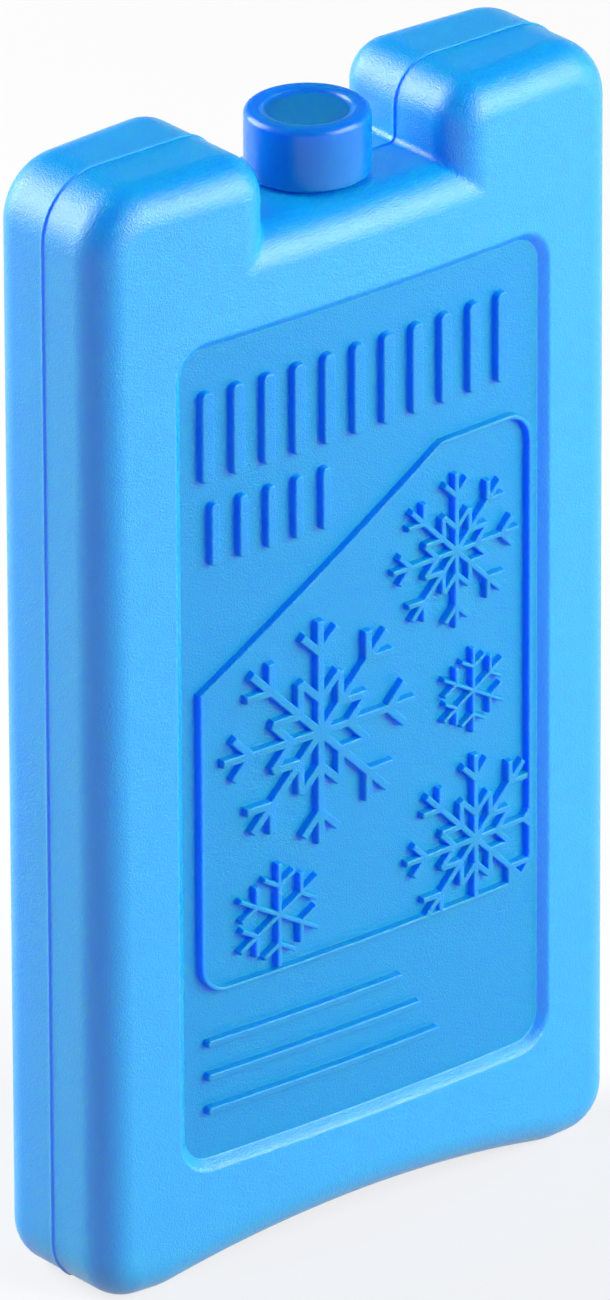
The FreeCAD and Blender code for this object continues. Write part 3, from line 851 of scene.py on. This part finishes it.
def add_camera():
    turn = VIEW_AZIMUTH
    rise = VIEW_ELEVATION
    back = Vector((-math.sin(turn) * math.cos(rise), -math.cos(turn) * math.cos(rise), math.sin(rise)))
    right = Vector((math.cos(turn), -math.sin(turn), 0.0))
    up = back.cross(right)
    right_r = right * math.cos(VIEW_ROLL) + up * math.sin(VIEW_ROLL)
    up_r = up * math.cos(VIEW_ROLL) - right * math.sin(VIEW_ROLL)
    data = bpy.data.cameras.new("camera")
    data.sensor_width = SENSOR
    data.sensor_height = SENSOR
    data.sensor_fit = "AUTO"
    data.lens = FOCAL_PIXELS / PHOTO_HEIGHT * SENSOR
    data.clip_end = 20.0
    camera = bpy.data.objects.new("camera", data)
    bpy.context.scene.collection.objects.link(camera)
    rows = Matrix((right_r, up_r, back)).transposed().to_4x4()
    rows.translation = VIEW_TARGET + back * VIEW_DISTANCE
    camera.matrix_world = rows
    bpy.context.scene.camera = camera


def seen_rays(tree):
    """1 for the rays that show the background: camera, glossy and transmission rays."""
    path = tree.nodes.new("ShaderNodeLightPath")
    seen = path.outputs["Is Camera Ray"]
    for kind in ("Is Glossy Ray", "Is Transmission Ray"):
        either = tree.nodes.new("ShaderNodeMath")
        either.operation = "MAXIMUM"
        tree.links.new(seen, either.inputs[0])
        tree.links.new(path.outputs[kind], either.inputs[1])
        seen = either.outputs[0]
    return seen


def stage_material(name):
    """Matt floor that is white to the camera and in reflections, and keeps the shadow.

    From outside the wall and from below it is clear, so that it never hides the bottle.
    """
    material = bpy.data.materials.new(name)
    tree = node_tree(material)
    out = tree.nodes.new("ShaderNodeOutputMaterial")
    matt = tree.nodes.new("ShaderNodeBsdfDiffuse")
    matt.inputs["Color"].default_value = (SEEN_MATT, SEEN_MATT, SEEN_MATT, 1.0)
    white = tree.nodes.new("ShaderNodeEmission")
    white.inputs["Strength"].default_value = 1.0
    shown = tree.nodes.new("ShaderNodeMixShader")
    shown.inputs["Fac"].default_value = SEEN_WHITE
    plain = tree.nodes.new("ShaderNodeBsdfDiffuse")
    plain.inputs["Color"].default_value = (BOUNCE, BOUNCE, BOUNCE, 1.0)
    surface = tree.nodes.new("ShaderNodeMixShader")
    tree.links.new(matt.outputs["BSDF"], shown.inputs[1])
    tree.links.new(white.outputs["Emission"], shown.inputs[2])
    tree.links.new(seen_rays(tree), surface.inputs["Fac"])
    tree.links.new(plain.outputs["BSDF"], surface.inputs[1])
    tree.links.new(shown.outputs["Shader"], surface.inputs[2])
    side = tree.nodes.new("ShaderNodeNewGeometry")
    clear = tree.nodes.new("ShaderNodeBsdfTransparent")
    one_sided = tree.nodes.new("ShaderNodeMixShader")
    tree.links.new(side.outputs["Backfacing"], one_sided.inputs["Fac"])
    tree.links.new(surface.outputs["Shader"], one_sided.inputs[1])
    tree.links.new(clear.outputs["BSDF"], one_sided.inputs[2])
    tree.links.new(one_sided.outputs["Shader"], out.inputs["Surface"])
    return material


def add_floor():
    """Round floor with a low curved wall on it, so that it fills the picture at eye level too."""
    sides = FLOOR_SIDES
    turn = np.linspace(0, 2 * math.pi, sides + 1)[:-1]
    levels = [(FLOOR_REACH, 0.0)]
    for bend in np.linspace(0, math.pi / 2, WALL_RINGS):
        levels.append((WALL_REACH + WALL_BEND * math.sin(bend), WALL_BEND * (1 - math.cos(bend))))
    places = []
    for radius, height in levels:
        places.extend((radius * math.cos(t), radius * math.sin(t), height) for t in turn)
    faces = [tuple(range(sides))]
    for ring in range(1, WALL_RINGS):
        low = ring * sides
        high = low + sides
        for i in range(sides):
            after = (i + 1) % sides
            faces.append((low + i, high + i, high + after, low + after))
    mesh = bpy.data.meshes.new("floor")
    mesh.from_pydata(places, [], faces)
    mesh.polygons.foreach_set("use_smooth", [False] + [True] * (len(faces) - 1))
    floor = bpy.data.objects.new("floor", mesh)
    bpy.context.scene.collection.objects.link(floor)
    mesh.materials.append(stage_material("floor_white"))


def add_box(name, azimuth, elevation, reach, width, height, radiance):
    """Soft box that faces the middle of the bottle."""
    turn = math.radians(azimuth)
    rise = math.radians(elevation)
    ray = Vector((math.sin(turn) * math.cos(rise), -math.cos(turn) * math.cos(rise), math.sin(rise)))
    data = bpy.data.lights.new(name, "AREA")
    data.shape = "RECTANGLE"
    data.size = width
    data.size_y = height
    data.energy = radiance * math.pi * width * height
    light = bpy.data.objects.new(name, data)
    light.location = LIT_PLACE + ray * reach
    light.rotation_mode = "QUATERNION"
    light.rotation_quaternion = (-ray).to_track_quat("-Z", "Y")
    bpy.context.scene.collection.objects.link(light)


def add_world():
    world = bpy.data.worlds.new("studio")
    bpy.context.scene.world = world
    tree = node_tree(world)
    out = tree.nodes.new("ShaderNodeOutputWorld")
    shade = tree.nodes.new("ShaderNodeBackground")
    shade.inputs["Color"].default_value = (1.0, 1.0, 1.0, 1.0)
    shade.inputs["Strength"].default_value = WORLD_STRENGTH
    tree.links.new(shade.outputs["Background"], out.inputs["Surface"])


# Making

bpy.context.scene.view_settings.view_transform = "Standard"
add_camera()
add_world()
add_floor()
add_box("right_box", *RIGHT_BOX)
add_box("left_box", *LEFT_BOX)

shell_blue = plastic("shell_blue", *SHELL_BLUE)
darker_panel_blue = plastic("darker_panel_blue", *PANEL_BLUE)
cap_blue = plastic("cap_blue", *CAP_BLUE)
pieces = (
    ("bottle", bottle_mesh(), (shell_blue, darker_panel_blue)),
    ("cap", cap_mesh(), (cap_blue,)),
)
for node, mesh, materials in pieces:
    piece = bpy.data.objects.new(node + "_shell", mesh)
    bpy.context.scene.collection.objects.link(piece)
    for material in materials:
        mesh.materials.append(material)
    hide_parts(node)
    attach(piece, "root")
